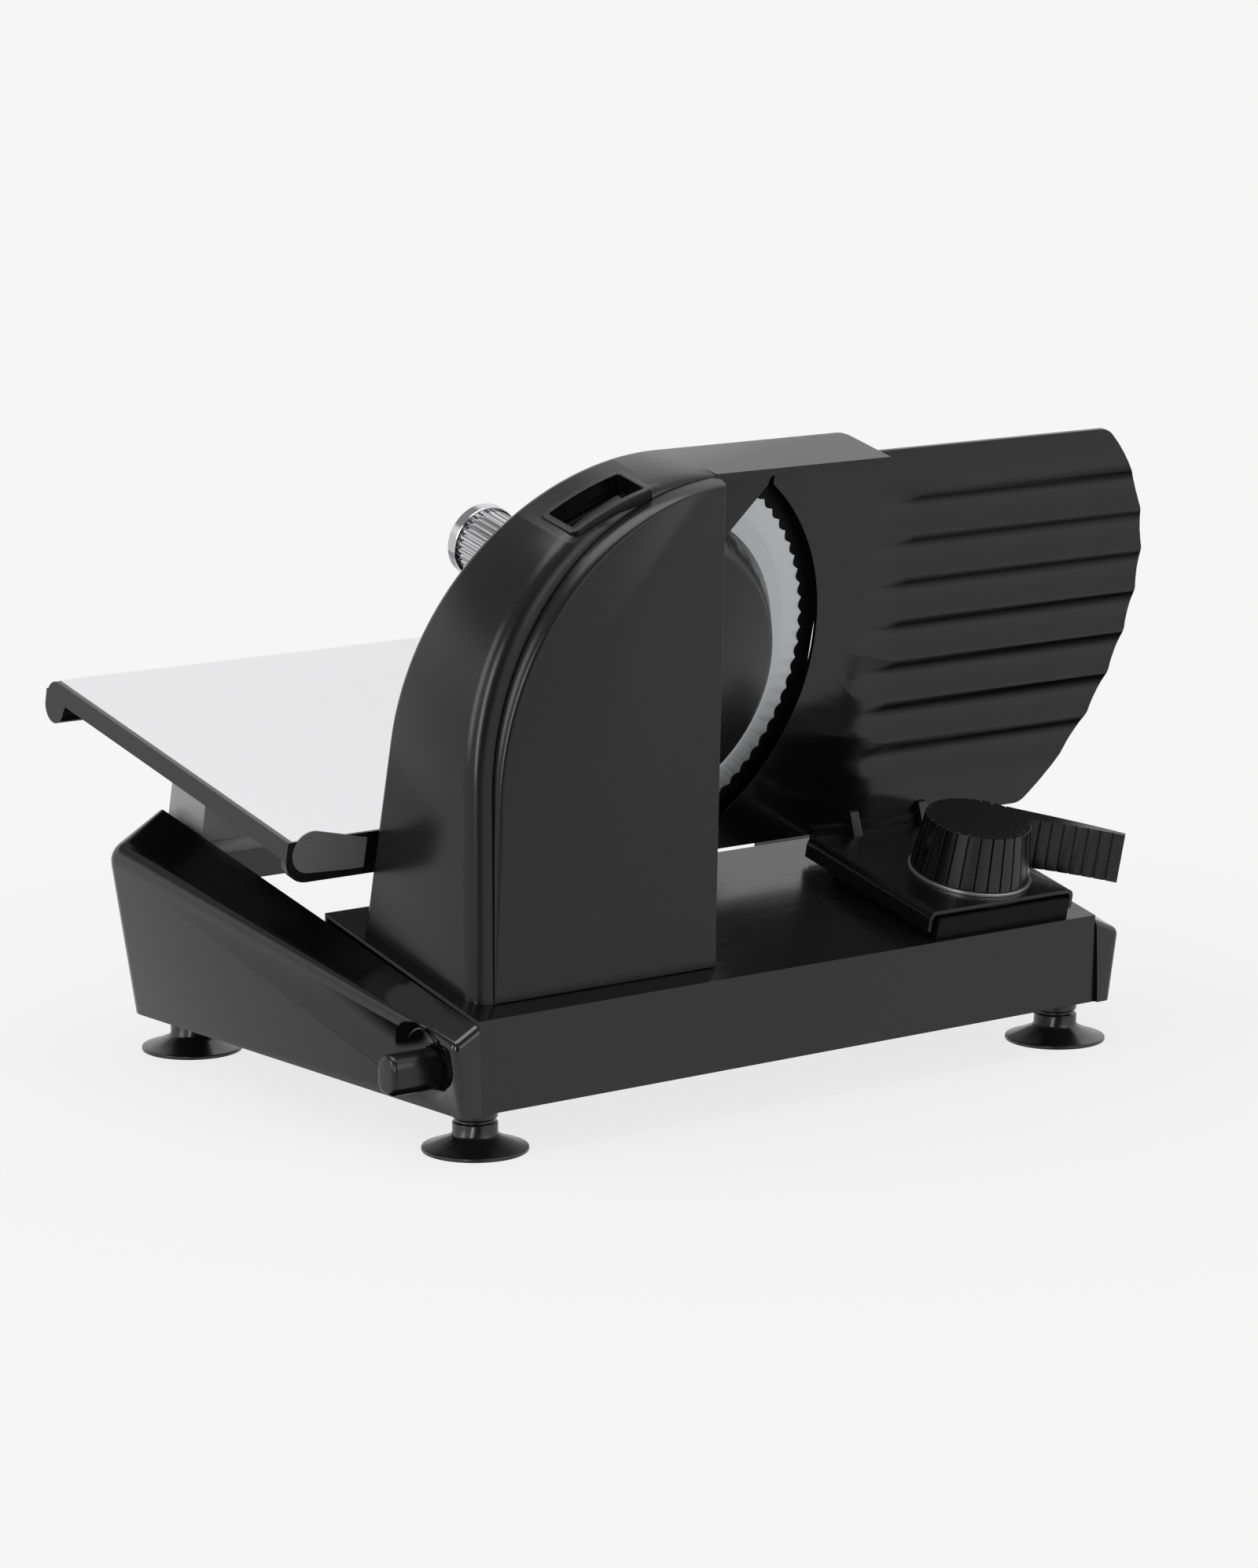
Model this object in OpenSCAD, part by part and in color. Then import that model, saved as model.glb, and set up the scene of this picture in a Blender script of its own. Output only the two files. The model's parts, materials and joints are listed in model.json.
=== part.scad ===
// Electric food slicer with an inclined blade, a sliding food carriage and a thickness guide.
// Millimetres. X runs along the base, Y towards the food side, Z up.
// Most sizes are given in the deck's own axes: x, s along the slope towards the food side,
// and h square to the deck. The blade plane is square to the deck.

/* [Base] */
// Lean of the deck, the table and the blade, degrees
tilt = 13; // [11:0.5:15]
// Left end of the bent sheet, from the middle of the feet
base_left = -181; // [-190:1:-176]
// Right end of the bent sheet, from the middle of the feet
base_right = 172; // [168:1:182]
// Front face of the base, from the middle of the feet
front_y = -135.5; // [-142:0.5:-130]
// Underside of the base above the floor
base_z = 21.2; // [18:0.2:26]
// Front edge of the deck above the floor
deck_z = 62.6; // [58:0.2:68]
// Depth of the deck along its slope
deck_d = 120; // [117:1:126]
// Thickness of the bent sheet
sheet_t = 1.5; // [1:0.1:2.5]
// Thickness of the bottom plate
bottom_t = 1.5; // [1:0.1:2.5]
// Wall of the end caps
cap_wall = 3; // [2:0.2:3.6]
// How far a cap stands out from the sheet at its lower front corner
cap_out_low = 8.5; // [6:0.5:11]
// How far a cap stands out from the sheet at its upper front corner
cap_out_top = 14; // [11:0.5:17]
// How far the arm's lower far corner stands out from the sheet
arm_out_low = 16.5; // [13:0.5:20]
// How far the arm's upper far corner stands out from the sheet
arm_out_top = 30; // [24:0.5:34]
// Far end of the arms, from the middle of the feet
arm_y = 120; // [116:0.5:126]
// Height of the arm's upper outer far corner
arm_z_out = 104.5; // [98:0.5:108]
// Height of the arm's upper inner far corner
arm_z_in = 116.5; // [113:0.5:119]

/* [Feet] */
// Distance between the left and right feet
foot_dx = 335; // [326:1:340]
// Distance between the front and rear feet
foot_dy = 227; // [218:1:232]
// Radius of a suction foot's rim
foot_r = 23.5; // [18:0.5:26]
// Radius of a foot's neck
neck_r = 10; // [8:0.5:12]
// Radius of a foot's stud
stud_r = 3; // [2.5:0.5:4]

/* [Housing] */
// Left flank of the housing
house_left = -174; // [-178:0.5:-170]
// Right side of the housing
house_right = -43; // [-46:0.5:-40]
// Radius of the housing's arch
arch_r = 123; // [118:0.5:126]
// Height of the housing's flat top above the deck
house_h = 214; // [211:0.5:220]
// Food-side face of the housing
house_s = 100; // [99:0.5:102]
// Front of the housing where it meets the deck
house_front_s = 12.8; // [10:0.2:16]
// Wall of the housing
house_wall = 3; // [2.4:0.2:4]
// How far the front cover leans out at its top
cover_lean = 9; // [6:0.5:12]
// Width of the front cover's rolled edge
cover_round = 3.5; // [2:0.5:5]
// Step from the housing's outline in to the front cover
cover_inset = 10; // [9.8:0.2:11]
// Right end of the hood
hood_x = 55; // [45:1:62]
// Thickness of the hood
hood_t = 3; // [2:0.2:4]
// Radius of the gear dome where it meets the blade side
dome_r = 73; // [70:0.5:76]
// Radius of the gear dome's front face
dome_front_r = 60; // [59:0.5:64]
// Front face of the gear dome
dome_s = 77; // [75:0.5:78]

/* [Blade] */
// Radius of the blade
blade_r = 95; // [85:0.5:98]
// Thickness of the blade
blade_t = 1.6; // [1.2:0.1:2]
// Blade axis, from the middle of the feet
blade_x = -44.5; // [-47:0.5:-42]
// Height of the blade axis above the deck
blade_h = 112; // [110:0.5:114]
// Food-side face of the blade
blade_s = 99.5; // [99:0.1:100]
// Number of scallops round the edge
blade_teeth = 80; // [60:2:84]
// Radius of the blade shaft
shaft_r = 6; // [5:0.5:7]

/* [Gears] */
// Tooth size of the drive wheel and the idler's small end
wheel_mod = 1.5; // [1.4:0.05:1.5]
// Teeth of the drive wheel
wheel_teeth = 72; // [60:12:72]
// Tooth size of the idler's large end and the motor pinion
idler_mod = 1; // [0.9:0.05:1]
// Teeth of the idler's large end
idler_teeth = 60; // [48:12:60]
// Radius of the motor can
motor_r = 28; // [24:1:29]
// Length of the motor can
motor_len = 30; // [24:1:32]

/* [Guide plate] */
// Height of the guide plate's top edge above the deck
plate_top = 203; // [195:0.5:207]
// Height of the guide plate's bottom edge above the deck
plate_low = 14; // [14:0.5:18]
// Furthest right point of the guide plate
plate_right = 255; // [240:1:262]
// Thickness of the guide plate
plate_t = 2; // [1.8:0.1:2.4]
// How far the ribs stand out on the food side
rib_up = 1.2; // [0.8:0.1:1.5]
// Gap between the blade's edge and the guide plate
plate_gap = 7; // [5:0.5:9]
// Number of ribs pressed into the guide plate
rib_count = 7; // [5:1:7]
// Distance from one rib to the next
rib_pitch = 20.8; // [20:0.2:21]
// Height of the lowest rib above the deck
rib_low = 46.3; // [44:0.1:48]
// Left side of the sliding cover
cover_left = 73; // [70:0.5:78]
// Right side of the sliding cover
cover_right = 160; // [155:0.5:164]
// Height of the sliding cover above the deck
cover_h = 13; // [12.5:0.1:14]
// Front end of the sliding cover
cover_s = 5; // [4:0.5:8]
// Thickness of the sliding cover
cover_t = 2; // [1.6:0.1:2.4]

/* [Thickness knob] */
// Knob axis, from the middle of the feet
knob_x = 122.5; // [119:0.5:125]
// Knob axis along the slope
knob_s = 37; // [36:0.5:39]
// Radius at the knob's foot
knob_r = 28; // [24:0.5:30]
// Radius at the knob's top
knob_top_r = 24.7; // [20:0.1:26]
// Height of the knob's top above the deck
knob_h = 40; // [34:0.5:46]
// Reach of the knob's lever from the axis
lever_len = 71; // [60:1:74]
// Number of grooves round the knob
knob_grooves = 27; // [21:3:36]
// Travel of the guide plate
travel = 15; // [10:1:15]
// Turn of the knob over that travel, degrees
knob_turn = 200; // [160:10:200]

/* [Carriage] */
// Left edge of the table
table_left = -217; // [-222:1:-213]
// Right edge of the table
table_right = 62; // [58:1:64]
// Height of the table top above the deck
table_h = 45; // [42:0.5:50]
// Near edge of the table
table_near = 103.5; // [103:0.5:106]
// Far edge of the table
table_far = 308; // [290:1:320]
// Thickness of the steel table top
table_t = 1.5; // [1:0.1:2]
// Depth of the frame's flange
flange_h = 9; // [7:0.5:12]
// Height of the near skirt's lower edge above the deck
skirt_low = 25; // [20:0.5:27]
// Thickness of the fence
fence_t = 3; // [2:0.2:4]
// Height of the fence's top above the deck
fence_h = 98; // [85:1:103]
// Radius of the pusher rod
rod_r = 5; // [4:0.5:6]
// Left edge of the pusher plate
push_left = -144; // [-147:0.5:-141]
// Right edge of the pusher plate
push_right = 10; // [4:1:12]
// Radius of the pusher knob's ribbed body
push_r = 15.4; // [13:0.2:16]
// Pusher knob axis, from the middle of the feet
push_x = -112.5; // [-116:0.5:-108]
// Pusher knob axis above the deck
push_h = 164.5; // [160:0.5:166]

/* [Hidden] */
$fn = 72;
hull_fn = 24;
pinion_teeth = 12;
fit = 0.05;
slack = 0.3;
big = 600;
// World places of the far table lip and the near edge of the knob's lever
lip_r = 8;
lever_dip = 33;
far_y = front_y + table_far * cos(tilt) - (skirt_low + lip_r) * sin(tilt);
near_y = front_y + (knob_s - lever_len * sin(lever_dip)) * cos(tilt) - knob_h * sin(tilt);
// Middle of the whole object's box, taken out so that the origin lies under its centre
mid_x = (table_left + plate_right) / 2;
mid_y = (far_y + near_y) / 2;
rear_y = front_y + deck_d * cos(tilt);
rear_z = deck_z + deck_d * sin(tilt);
button_y = -113;
button_z = 39.5;
dish_r = 17;
wall_s = house_s - 8;
recess_s = blade_s - blade_t - 2.9;
arch_x = house_left + arch_r;
arch_h = house_h - arch_r;
rail_near = table_far - 71;
rail_far = rail_near + 12;
rail_top = -12;
rail_low = rail_top - 26;
idler_reach = (wheel_teeth + pinion_teeth) * wheel_mod / 2;
idler_x = blade_x - idler_reach * cos(45);
idler_h = blade_h - idler_reach * sin(45);
motor_reach = (idler_teeth + pinion_teeth) * idler_mod / 2;
motor_x = idler_x - motor_reach * cos(60);
motor_h = idler_h - motor_reach * sin(60);
wheel_s = 82.3;
wheel_t = 6.7;
hub_s = 81.8;
hub_far = 89.5;
idler_s = 66;
idler_t = 8;
mplate_s = 62.5;
mplate_t = 2;
idler_pin_r = 3;
motor_shaft_r = 2.5;
cut_r = blade_r + plate_gap;
cover_mid = (cover_left + cover_right) / 2;
plate_s = blade_s - rib_up - plate_t;
rail_in = 3.5;
adj_rail_h = 10;
cam_near = 6;
cam_pin_r = 2.5;
ring_t = 1.5;
rod_x = table_right - 14;
rod_h = table_h + 18;
rod_near = table_near + fence_t + 0.1;
rod_far = table_far - 34;
push_s = table_near + 1;
push_t = 4;
push_top = push_h + 13.5;
grip_s = push_s + push_t + 20.5;
guard_left = push_right + 2;
guard_top = plate_top - 10;
frame_low = table_h - flange_h;
frame_roof = table_h - table_t - 2.5;

module world() { translate([-mid_x, -mid_y, 0]) children(); }
module deck() { world() translate([0, front_y, deck_z]) rotate([tilt, 0, 0]) children(); }
// An outline in x and h, drawn out from s0 to s1
module along_s(s0, s1) { translate([0, s1, 0]) rotate([90, 0, 0]) linear_extrude(s1 - s0) children(); }
// An outline in s (or y) and h (or z), drawn out from x0 to x1
module along_x(x0, x1) { translate([x0, 0, 0]) rotate([90, 0, 90]) linear_extrude(x1 - x0) children(); }
// A round bar whose axis lies along s
module bar_s(x, h, r, s0, s1) { translate([x, s1, h]) rotate([90, 0, 0]) cylinder(r = r, h = s1 - s0); }
module box(a, b) { translate(a) cube(b - a); }
module foot_places() {
  for (x = [-1, 1], y = [-1, 1]) translate([x * foot_dx / 2, y * foot_dy / 2, 0]) children();
}

// Outline of the bent sheet's outer face in y and z
module base_outline(in) {
  yb = rear_y - in;
  polygon([[front_y + in, base_z], [front_y + in, deck_z - in * (1 + tan(tilt)) / 1],
    [yb, rear_z - in / cos(tilt) - in * tan(tilt)], [yb, base_z]]);
}
module base_channel() {
  color("#242424") world() difference() {
    along_x(base_left, base_right) base_outline(0);
    along_x(base_left - 1, base_right + 1) base_outline(sheet_t);
    box([base_left - 1, front_y + sheet_t, base_z - 1], [base_right + 1, rear_y - sheet_t, base_z + 1]);
    translate([-100, -70, base_z + 8]) cylinder(r = 12, h = 100);
    translate([115, rear_y - 10, base_z + 16]) rotate([-90, 0, 0]) cylinder(r = gland_r + fit, h = 20);
  }
}
gland_r = 6;
module cord_gland() {
  color("#161616") world() translate([115, rear_y, base_z + 16]) rotate([-90, 0, 0]) {
    difference() {
      union() {
        translate([0, 0, -sheet_t - 6]) cylinder(r = gland_r, h = sheet_t + 6.2);
        translate([0, 0, 0.1]) cylinder(r1 = gland_r + 3, r2 = gland_r + 1.5, h = 4);
      }
      translate([0, 0, -20]) cylinder(r = 3.6, h = 40);
    }
  }
}
screw_places = [[-130, -122], [0, -122], [130, -122], [-130, -34], [0, -34], [130, -34]];
module bottom_plate() {
  y0 = front_y + sheet_t + slack;
  y1 = rear_y - sheet_t - slack;
  color("#3a3a3a") world() difference() {
    union() {
      box([base_left + 0.2, y0, base_z], [base_right - 0.2, y1, base_z + bottom_t]);
      for (p = screw_places) translate([p[0], p[1], base_z]) cylinder(r = 5, h = 7);
    }
    foot_places() translate([0, 0, 0]) cylinder(r = stud_r + fit, h = 60);
    for (p = screw_places) translate([p[0], p[1], 0]) cylinder(r = 1.6, h = base_z + 5.5);
  }
}
module base_screws() {
  color("#8c8c8c") world() for (p = screw_places) translate([p[0], p[1], 0]) {
    translate([0, 0, base_z - 2.6]) cylinder(r = 3.5, h = 2.5);
    translate([0, 0, base_z - 0.2]) cylinder(r = 1.55, h = 5.5);
  }
}

// Corners of an end cap: distance out from the sheet, y, z and rounding radius
module cap_body(thin) {
  ny = front_y - 2;
  pts = [[cap_out_low, ny, base_z - 3, 4], [cap_out_top, ny, deck_z - 6.5, 4],
    [arm_out_low, arm_y, base_z - 3, 10], [arm_out_top, arm_y - 1, arm_z_out, 10],
    [0, arm_y, base_z - 3, 4], [0, arm_y - 1, arm_z_in, 4],
    [0, ny, base_z - 3, 4], [0, ny + 1.5, deck_z, 4]];
  intersection() {
    hull() for (p = pts) {
      r = p[3];
      ys = p[1] < 0 ? r : -r;
      xs = p[0] == 0 ? r : r;
      translate([-p[0] + xs, p[1] + ys, p[2] - (p[2] > base_z ? r : 0)]) sphere(r = r - thin, $fn = hull_fn);
    }
    box([-60, front_y - 20, base_z + (thin > 0 ? -10 : 0)], [-(thin > 0 ? thin : 0.1), arm_y + 20, 140]);
  }
}
module arm_lug(reach) {
  translate([0, foot_dy / 2, base_z]) difference() {
    hull() {
      translate([reach, 0, 0]) cylinder(r = 13, h = 4, $fn = 32);
      box([-9, -18, 0], [-2, 6.5, 4]);
    }
    translate([reach, 0, -1]) cylinder(r = stud_r + fit, h = 10);
  }
}
// A cap with its sheet side at x = 0 and its outside towards minus x
module cap(reach) {
  difference() {
    cap_body(0);
    cap_body(cap_wall);
    along_x(-cap_wall - 1, 1) rail_window();
    translate([reach, foot_dy / 2, base_z + 4]) cylinder(r = 6.5, h = 6);
    along_x(-cap_wall - 1, 1) polygon([[front_y + 5, base_z - 1], [front_y + 5, deck_z - 9],
      [-30, deck_z + 12], [-30, base_z - 1]]);
  }
  arm_lug(reach);
}
module rail_window() {
  translate([front_y, deck_z]) rotate(tilt)
    translate([rail_near - slack, rail_low - slack])
      square([rail_far - rail_near + 2 * slack, rail_top - rail_low + 2 * slack]);
}
module left_end_cap() {
  foot_in = -foot_dx / 2 - base_left;
  bx = -(cap_out_low + cap_out_top) / 2;
  color("#1a1a1a") world() translate([base_left, 0, 0]) difference() {
    union() {
      cap(foot_in);
      intersection() {
        translate([-cap_wall - 9, button_y, button_z]) rotate([0, 90, 0]) cylinder(r = dish_r + 1, h = 9 - 2);
        cap_body(0.5);
      }
    }
    translate([bx - 27, button_y, button_z]) sphere(r = 31.4);
    along_x(-40, 4) translate([button_y, button_z]) button_outline(0.4);
  }
}
module right_end_cap() {
  foot_in = base_right - foot_dx / 2;
  color("#1a1a1a") world() translate([base_right, 0, 0]) mirror([1, 0, 0]) cap(foot_in);
}
button_w = 14;
button_tall = 18;
module button_outline(gap) { rounded(button_w + 2 * gap, button_tall + 2 * gap, 5.5 + gap); }
module safety_button() {
  color("#202020") world() {
    along_x(base_left - 33, base_left - 1) translate([button_y, button_z]) button_outline(0);
    along_x(base_left - 3.2, base_left - 1) translate([button_y, button_z]) button_outline(3);
    along_x(base_left - 1, base_left + 7) translate([button_y, button_z]) circle(r = 3);
  }
}
module micro_switch() {
  y = button_y;
  z0 = base_z + bottom_t;
  color("#b33a2a") world() {
    box([base_left + 13.5, y - 4, button_z - 7], [base_left + 33, y + 4, button_z + 8]);
    box([base_left + 21.5, y - 4, z0], [base_left + 33, y + 4, button_z - 6]);
    along_x(base_left + 12.3, base_left + 14) translate([y, button_z]) circle(r = 2.5);
  }
}
module foot_cups() {
  color("#121212") world() foot_places() difference() {
    rotate_extrude() difference() {
      polygon([[0, 0.6], [foot_r - 5, 0.6], [foot_r - 4, 0], [foot_r, 0], [foot_r, 1.6], [foot_r - 5, 3.2],
        [neck_r + 1, 6.4], [neck_r, 8], [neck_r, 12.6], [neck_r - 1, 13.2], [neck_r - 1, 14.2],
        [neck_r, 14.8], [neck_r, base_z - 0.1], [0, base_z - 0.1]]);
    }
    translate([0, 0, 10.1 - fit]) cylinder(r = stud_r + fit, h = 30);
  }
}
module foot_studs() {
  color("#9a9a9a") world() for (x = [-1, 1], y = [-1, 1]) translate([x * foot_dx / 2, y * foot_dy / 2, 0]) {
    seat = base_z + (y < 0 ? bottom_t : 4);
    translate([0, 0, 10.1]) cylinder(r = stud_r, h = seat + 5 - 10.1);
    translate([0, 0, seat + 0.1]) cylinder(r = 5.5, h = 4, $fn = 6);
  }
}
module carriage_rail() {
  color("#1c1c1c") deck() difference() {
    along_x(base_left - 4, base_right + 4) translate([rail_near, rail_low])
      square([rail_far - rail_near, rail_top - rail_low]);
    along_x(base_left - 7, base_right + 7) translate([rail_near + 2, rail_low + 2])
      square([rail_far - rail_near - 4, rail_top - rail_low - 4]);
  }
}

// Arched outline in x and h: left side, right side, top, radius of the arch and lower edge
module arch_shape(left, right, top, r, low) {
  intersection() {
    translate([left, low]) square([right - left, top - low]);
    union() {
      translate([left + r, top - r]) circle(r = r, $fn = 160);
      translate([left, low]) square([right - left, top - r - low]);
      translate([left + r, low]) square([2 * r, top - low]);
    }
  }
}
// The housing's outline drawn in by a distance
module arch(in, low) { arch_shape(house_left + in, house_right - in, house_h - in, arch_r - in, low); }
// The same on the front, where the left side draws in more than the top
module front_arch(in, right, low) {
  arch_shape(house_left + in, right, house_h - 0.1 * in, arch_r + 0.25 * in, low);
}
// Everything on the food side of a plane that rises from the housing's foot, leaning by an angle
module behind(s0, lean) {
  translate([0, s0, 0]) rotate([-lean, 0, 0]) box([-big, 0, -big], [big, big, big]);
}
lean_up = tilt;
lean_out = atan((house_h * tan(tilt) - cover_lean) / house_h);
module dome(r1, r0, s0, s1) {
  translate([blade_x, s1, blade_h]) rotate([90, 0, 0]) rotate_extrude($fn = 120)
    polygon([[0, 0], [r1, 0], [r1, 2], [r0 + 3, s1 - s0 - 2], [r0, s1 - s0], [0, s1 - s0]]);
}
// Square plate outline with rounded corners, about the middle
module rounded(w, d, r) {
  square([w - 2 * r, d], center = true);
  square([w, d - 2 * r], center = true);
  for (x = [-1, 1], y = [-1, 1]) translate([x * (w / 2 - r), y * (d / 2 - r)]) circle(r = r);
}
module switch_frame() {
  translate([arch_x, switch_s, arch_h]) rotate([0, -switch_lean, 0]) children();
}
module switch_cut(in, r0, r1) {
  switch_frame() translate([0, 0, r0]) linear_extrude(r1 - r0)
    rounded(switch_w - 2 * in, switch_d - 2 * in, max(4 - in, 1));
}
switch_s = 72.5;
switch_lean = 23.6;
switch_w = 44;
switch_d = 25;
edge_r = 4;
module housing_body() {
  hull() {
    for (a = [0 : 18 : 90]) intersection() {
      along_s(0, house_s - edge_r) front_arch(9 * (1 - cos(a)), house_right, 0.1);
      behind(house_front_s + 9 * (1 - sin(a)), lean_up);
    }
    for (a = [22.5 : 22.5 : 90])
      along_s(house_s - 20, house_s - edge_r * (1 - sin(a)))
        arch_shape(house_left + edge_r * (1 - cos(a)), house_right, house_h - edge_r * (1 - cos(a)),
          arch_r - edge_r * (1 - cos(a)), 0.1);
  }
}
module housing_shell() {
  color("#262626") deck() difference() {
    union() {
      housing_body();
      dome(dome_r, dome_front_r, dome_s, recess_s);
      intersection() {
        along_x(house_right - 1, hood_x) intersection() {
          translate([0, house_h - hood_t]) square([house_s, hood_t]);
          polygon(concat([[0, 0], [0, house_h]],
            [for (a = [0 : 22.5 : 90]) [house_s - edge_r * (1 - sin(a)), house_h - edge_r * (1 - cos(a))]],
            [[house_s, 0]]));
        }
        behind(house_front_s, lean_up);
      }
      along_s(91, 94) polygon([[house_right - 1, 165], [-14, 166], [11, 194.5],
        [15, house_h - 1], [house_right - 1, house_h - 1]]);
    }
    difference() {
      union() {
        intersection() {
          along_s(0, wall_s) arch(house_wall, house_wall);
          along_s(0, wall_s) front_arch(cover_inset - 0.4, house_right - house_wall, house_wall);
          behind(house_front_s - 1, lean_up);
        }
        intersection() {
          along_s(24, wall_s) arch(house_wall, house_wall);
          behind(house_front_s + 11, lean_up);
        }
        dome(dome_r - 3.5, dome_front_r - 2.5, dome_s + 2.5, wall_s);
      }
      bar_s(blade_x, blade_h, shaft_r + 8, hub_far, wall_s + 1);
      bar_s(blade_x, blade_h, shaft_r + 5, dome_s, hub_s);
    }
    bar_s(blade_x, blade_h, blade_r + 2.5, recess_s, house_s + 1);
    bar_s(blade_x, blade_h, shaft_r + 2 + fit, dome_s + 1.5, house_s);
    translate([hood_x - 9, house_s - 9, house_h - 20]) linear_extrude(30) difference() {
      square(12);
      circle(r = 9);
    }
    switch_cut(-0.2, arch_r - 23, arch_r + 7);
  }
}
// The front cover's outer shape, with its rolled edge; its foot is drawn in from the housing's outline
module cover_part(in, lean) {
  intersection() {
    along_s(0, 80) front_arch(cover_inset + in, house_right - 1 - in * 0.7, 0.6 + in * 0.8);
    behind(house_front_s - 0.8, lean);
  }
}
module front_cover() {
  color("#242424") deck() difference() {
    union() {
      difference() {
        hull() for (a = [0 : 15 : 90])
          cover_part(cover_round * (1 - cos(a)), lean_up - (lean_up - lean_out) * sin(a));
        behind(house_front_s - 0.05, lean_up);
      }
      intersection() {
        along_s(0, 80) front_arch(cover_inset, house_right - house_wall - 0.3, house_wall + 0.3);
        along_s(0, 80) arch(house_wall + 0.3, 0);
        behind(house_front_s - 0.1, lean_up);
      }
    }
    behind(house_front_s + 3.2, lean_up);
    intersection() {
      along_s(0, 80) arch(cover_inset + cover_round + 1, 8);
      behind(house_front_s + 2.2, lean_out);
    }
    switch_cut(-0.3, arch_r - 12, arch_r + 7);
  }
}
module switch_bezel() {
  color("#1b1b1b") deck() difference() {
    intersection() {
      switch_cut(0.1, arch_r - 9, arch_r + 3);
      bar_s(arch_x, arch_h, arch_r + 0.8, 0, house_s);
    }
    switch_cut(3, arch_r - 12, arch_r + 3);
  }
}
module switch_body() {
  color("#303030") deck() difference() {
    switch_cut(3, arch_r - 30, arch_r - 9.3);
    switch_cut(6, arch_r - 15.5, arch_r);
  }
}
rocker_pivot = 13;
module rocker() {
  w = switch_w - 2 * 6 - 2;
  d = switch_d - 2 * 6 - 1;
  color("#6a6a6a") deck() switch_frame() translate([0, d / 2, arch_r - rocker_pivot]) rotate([90, 0, 0])
    linear_extrude(d) difference() {
      polygon([[-w / 2, -0.5], [w / 2, 2.2], [w / 2 - 1, 5.2], [0, 4.2], [-w / 2 + 1, 2.6]]);
      translate([0, 1]) circle(r = 1);
    }
}

// Toothed wheel outline: tooth count, tooth size, turn and how slim the teeth are
module gear(n, m, turn, slim) {
  pr = n * m / 2;
  tip = pr + 0.7 * m;
  root = pr - 1.05 * m;
  half = 90 / n * slim;
  polygon([for (i = [0 : n - 1], q = [[root, -1.5], [tip, -0.62], [tip, 0.62], [root, 1.5]])
    q[0] * [cos(turn + 360 * i / n + q[1] * half), sin(turn + 360 * i / n + q[1] * half)]]);
}
module drive_wheel() {
  color("#d8d2c0") deck() difference() {
    along_s(wheel_s, wheel_s + wheel_t) translate([blade_x, blade_h]) gear(wheel_teeth, wheel_mod, 45, 0.8);
    along_s(wheel_s - 1, wheel_s + 2) translate([blade_x, blade_h]) difference() {
      circle(r = wheel_teeth * wheel_mod / 2 - 8);
      circle(r = 14);
    }
    bar_s(blade_x, blade_h, shaft_r + fit, wheel_s - 1, wheel_s + wheel_t + 1);
  }
}
module blade_shaft() {
  color("#a8a8a8") deck() {
    bar_s(blade_x, blade_h, shaft_r, dome_s + 2, blade_s + 1.8);
    bar_s(blade_x, blade_h, 16, recess_s + 0.6, blade_s - blade_t);
  }
}
module shaft_bushes() {
  color("#b08d57") deck() for (span = [[dome_s + 1.6, hub_s], [hub_far, recess_s]]) difference() {
    bar_s(blade_x, blade_h, shaft_r + 2, span[0], span[1]);
    bar_s(blade_x, blade_h, shaft_r + fit, span[0] + (span[0] < hub_far ? 0.3 : -1), span[1] + 1);
  }
}
module blade() {
  bite = 5.2;
  color("#c9ccd0") deck() difference() {
    translate([blade_x, blade_s, blade_h]) rotate([90, 0, 0]) rotate_extrude($fn = 120)
      polygon([[0, 0], [blade_r - 0.2, 0], [blade_r, 0.1], [blade_r, 0.3], [blade_r - 12, blade_t],
        [0, blade_t]]);
    for (i = [0 : blade_teeth - 1]) {
      a = 360 * i / blade_teeth;
      bar_s(blade_x + (blade_r + 3.6) * cos(a), blade_h + (blade_r + 3.6) * sin(a), bite,
        blade_s - 3, blade_s + 1);
    }
    bar_s(blade_x, blade_h, shaft_r + fit, blade_s - 5, blade_s + 5);
  }
}
module blade_lock_cap() {
  color("#1d1d1d") deck() difference() {
    union() {
      translate([blade_x, blade_s + 2.3, blade_h]) rotate([90, 0, 0]) cylinder(r1 = 20, r2 = 24, h = 2.3);
      bar_s(blade_x, blade_h, 10, blade_s + 1, blade_s + 3.4);
    }
    bar_s(blade_x, blade_h, shaft_r + fit, blade_s - 1, blade_s + 1.9);
    box([blade_x - 8, blade_s + 2.3, blade_h - 1.2], [blade_x + 8, blade_s + 9, blade_h + 1.2]);
  }
}
module idler_gear() {
  base_turn = 45 + 180 / pinion_teeth;
  color("#e4e0d4") deck() translate([0, 0, 0]) difference() {
    union() {
      along_s(idler_s, idler_s + idler_t)
        translate([idler_x, idler_h]) gear(idler_teeth, idler_mod, 240, 0.8);
      along_s(idler_s + idler_t - 0.1, wheel_s + wheel_t)
        translate([idler_x, idler_h]) gear(pinion_teeth, wheel_mod, base_turn, 0.8);
    }
    bar_s(idler_x, idler_h, idler_pin_r + fit, 0, 100);
  }
}
module idler_pin() {
  color("#9c9c9c") deck() bar_s(idler_x, idler_h, idler_pin_r, mplate_s, wall_s);
}
module motor_shaft() {
  color("#b5b5b5") deck() {
    bar_s(motor_x, motor_h, motor_shaft_r, mplate_s - motor_len + 2.6, idler_s + idler_t + 1);
    along_s(idler_s, idler_s + idler_t) translate([motor_x, motor_h]) difference() {
      gear(pinion_teeth, idler_mod, 60 + 180 / pinion_teeth, 0.8);
      circle(r = motor_shaft_r - 0.5);
    }
  }
}
post_places = [[-60, 20], [-152, 20], [-128, 62]];
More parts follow.
